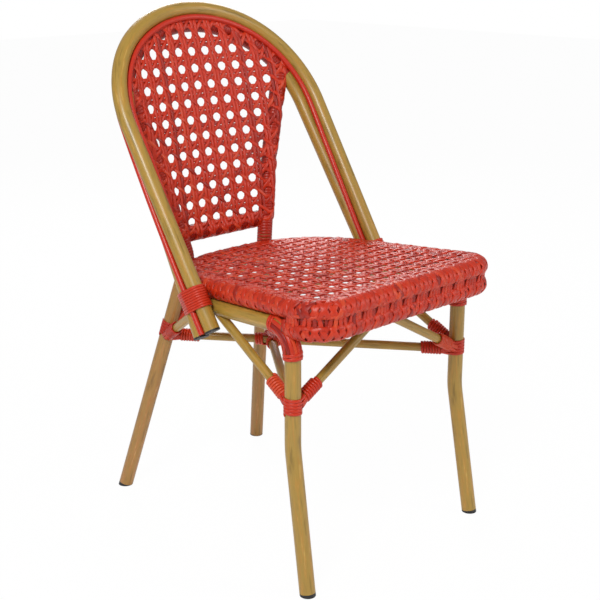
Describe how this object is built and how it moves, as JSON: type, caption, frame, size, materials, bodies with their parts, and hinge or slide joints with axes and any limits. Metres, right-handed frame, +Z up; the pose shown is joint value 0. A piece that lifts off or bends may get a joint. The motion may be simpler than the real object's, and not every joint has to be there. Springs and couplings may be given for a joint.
{
  "type": "bistro chair",
  "caption": "Stacking bistro chair in bent tube, with a twin arched bow round the back, woven seat and back panels with round holes, crossed stretchers and braced legs.",
  "frame": {"origin": "on the floor, below the middle of the bounding box", "axes": "+Z up, the sitter faces -Y, +X to the viewer's right when the chair is seen from the front"},
  "size_m": [0.4616, 0.5682, 0.8699],
  "materials": {
    "tube_paint": "bamboo-effect paint, semi-gloss, with fine lengthwise streaks",
    "woven_strand": "extruded strand, satin, woven",
    "trim_cord": "smooth extruded cord, satin",
    "end_plug": "moulded, fine grain",
    "bolt_steel": "plain"
  },
  "bodies": {
    "root": {"outer_bow": "tube_paint", "inner_bow": "tube_paint", "side_tube_left": "tube_paint", "side_tube_right": "tube_paint", "rear_leg_left": "tube_paint", "rear_leg_right": "tube_paint", "seat_ring": "tube_paint", "front_lower_rail": "tube_paint", "front_cross_bar": "tube_paint", "back_lower_bar": "tube_paint", "stretcher_long": "tube_paint", "stretcher_front_half": "tube_paint", "stretcher_rear_half": "tube_paint", "front_brace_left": "tube_paint", "front_brace_right": "tube_paint", "side_brace_front_left": "tube_paint", "side_brace_front_right": "tube_paint", "side_brace_rear_left": "tube_paint", "side_brace_rear_right": "tube_paint", "rear_brace_left": "tube_paint", "rear_brace_right": "tube_paint", "seat_weave": "woven_strand", "back_weave": "woven_strand", "bow_binding_left": "woven_strand", "bow_binding_right": "woven_strand", "crossing_binding": "woven_strand", "joint_band_front_left": "woven_strand", "joint_band_front_right": "woven_strand", "joint_band_rear_left": "woven_strand", "joint_band_rear_right": "woven_strand", "joint_windings_front_left": "woven_strand", "joint_windings_front_right": "woven_strand", "joint_windings_rear_left": "woven_strand", "joint_windings_rear_right": "woven_strand", "bend_sleeve_left": "woven_strand", "bend_sleeve_right": "woven_strand", "trim_cord_front": "trim_cord", "trim_cord_rear": "trim_cord", "bow_end_plugs": "end_plug", "front_foot_plug_left": "end_plug", "front_foot_plug_right": "end_plug", "rear_foot_plug_left": "end_plug", "rear_foot_plug_right": "end_plug", "bow_bolts": "bolt_steel"}
  },
  "joints": []
}
